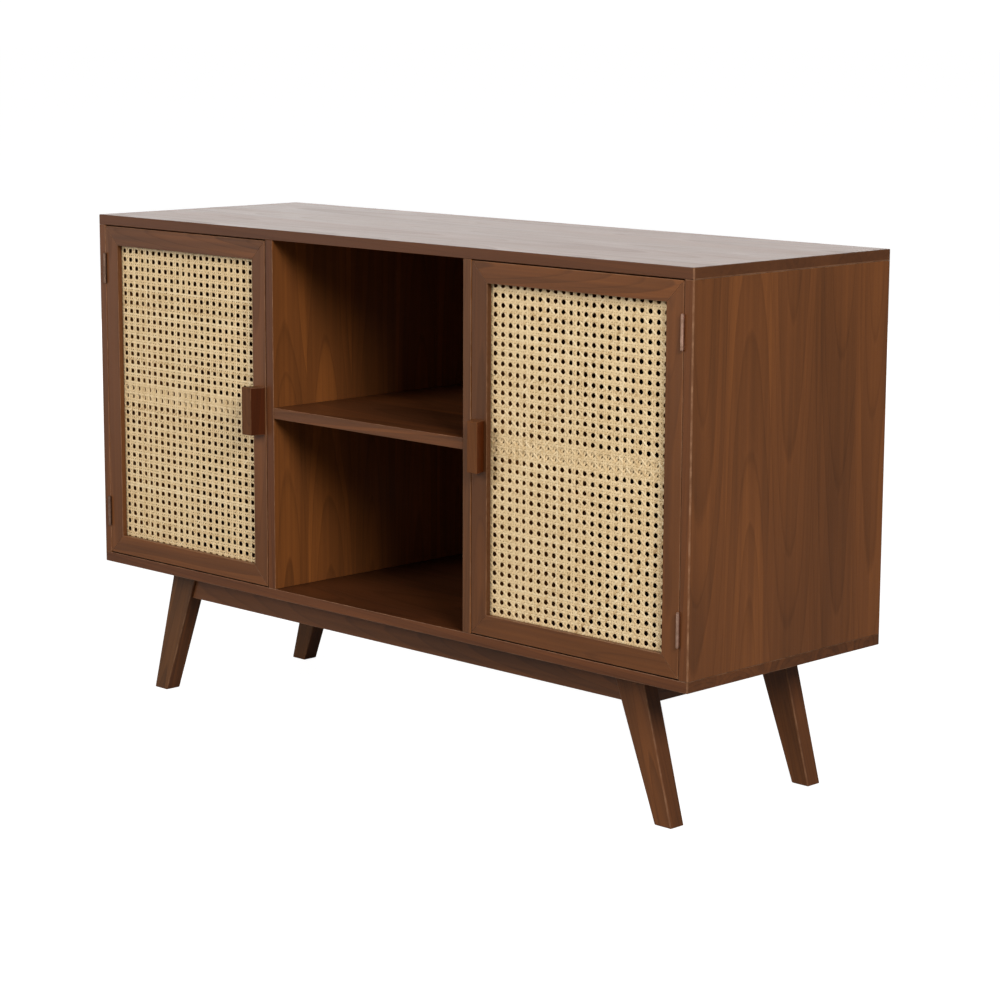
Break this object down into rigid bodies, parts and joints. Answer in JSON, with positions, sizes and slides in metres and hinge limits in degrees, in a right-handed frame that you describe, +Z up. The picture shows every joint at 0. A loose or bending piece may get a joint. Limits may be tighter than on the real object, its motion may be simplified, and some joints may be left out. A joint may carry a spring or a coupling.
{
  "type": "media cabinet",
  "caption": "Low wooden media cabinet on splayed tapered legs: open shelved bay in the middle between two hinged doors with woven cane panels.",
  "frame": {"origin": "on the floor, under the middle of the whole object's box", "axes": "+X along the length to the right seen from the front, -Y out of the front, +Z up"},
  "size_m": [1.2, 0.42, 0.74],
  "materials": {
    "walnut": "satin walnut stain over solid wood, vertical and lengthwise grain",
    "walnut_inside": "matt walnut stain",
    "cane": "natural woven cane webbing, unvarnished",
    "aged_brass": "satin aged brass",
    "bright_steel": "zinc-bright steel",
    "dark_plastic": "matt moulded plastic"
  },
  "bodies": {
    "cabinet": {"back_panel": "walnut_inside", "bottom_panel": "walnut", "centre_shelf": "walnut", "corner_brace_front_left": "walnut_inside", "corner_brace_front_right": "walnut_inside", "corner_brace_rear_left": "walnut_inside", "corner_brace_rear_right": "walnut_inside", "divider_left": "walnut", "divider_right": "walnut", "front_apron": "walnut", "front_leg_left": "walnut", "front_leg_right": "walnut", "hinge_leaf_case_lower_left": "aged_brass", "hinge_leaf_case_lower_right": "aged_brass", "hinge_leaf_case_upper_left": "aged_brass", "hinge_leaf_case_upper_right": "aged_brass", "hinge_pin_lower_left": "aged_brass", "hinge_pin_lower_right": "aged_brass", "hinge_pin_upper_left": "aged_brass", "hinge_pin_upper_right": "aged_brass", "magnetic_catch_left": "dark_plastic", "magnetic_catch_right": "dark_plastic", "rear_apron": "walnut", "rear_leg_left": "walnut", "rear_leg_right": "walnut", "side_panel_left": "walnut", "side_panel_right": "walnut", "side_rail_left": "walnut", "side_rail_right": "walnut", "top_panel": "walnut"},
    "door_left": {"cane_bead_bottom_left": "walnut_inside", "cane_bead_closing_left": "walnut_inside", "cane_bead_hinge_left": "walnut_inside", "cane_bead_top_left": "walnut_inside", "cane_panel_left": "cane", "catch_plate_left": "bright_steel", "door_pull_left": "walnut", "door_rail_bottom_left": "walnut", "door_rail_top_left": "walnut", "door_stile_closing_left": "walnut", "door_stile_hinge_left": "walnut", "hinge_leaf_door_lower_left": "aged_brass", "hinge_leaf_door_upper_left": "aged_brass", "pull_screw_lower_left": "bright_steel", "pull_screw_upper_left": "bright_steel"},
    "door_right": {"cane_bead_bottom_right": "walnut_inside", "cane_bead_closing_right": "walnut_inside", "cane_bead_hinge_right": "walnut_inside", "cane_bead_top_right": "walnut_inside", "cane_panel_right": "cane", "catch_plate_right": "bright_steel", "door_pull_right": "walnut", "door_rail_bottom_right": "walnut", "door_rail_top_right": "walnut", "door_stile_closing_right": "walnut", "door_stile_hinge_right": "walnut", "hinge_leaf_door_lower_right": "aged_brass", "hinge_leaf_door_upper_right": "aged_brass", "pull_screw_lower_right": "bright_steel", "pull_screw_upper_right": "bright_steel"}
  },
  "joints": [
    {"name": "left_door_hinge", "type": "hinge", "parent": "cabinet", "child": "door_left", "pos_m": [-0.5845, -0.1925, 0.47], "axis": [0, 0, -1], "range_deg": [0, 170]},
    {"name": "right_door_hinge", "type": "hinge", "parent": "cabinet", "child": "door_right", "pos_m": [0.5845, -0.1925, 0.47], "axis": [0, 0, 1], "range_deg": [0, 170]}
  ]
}
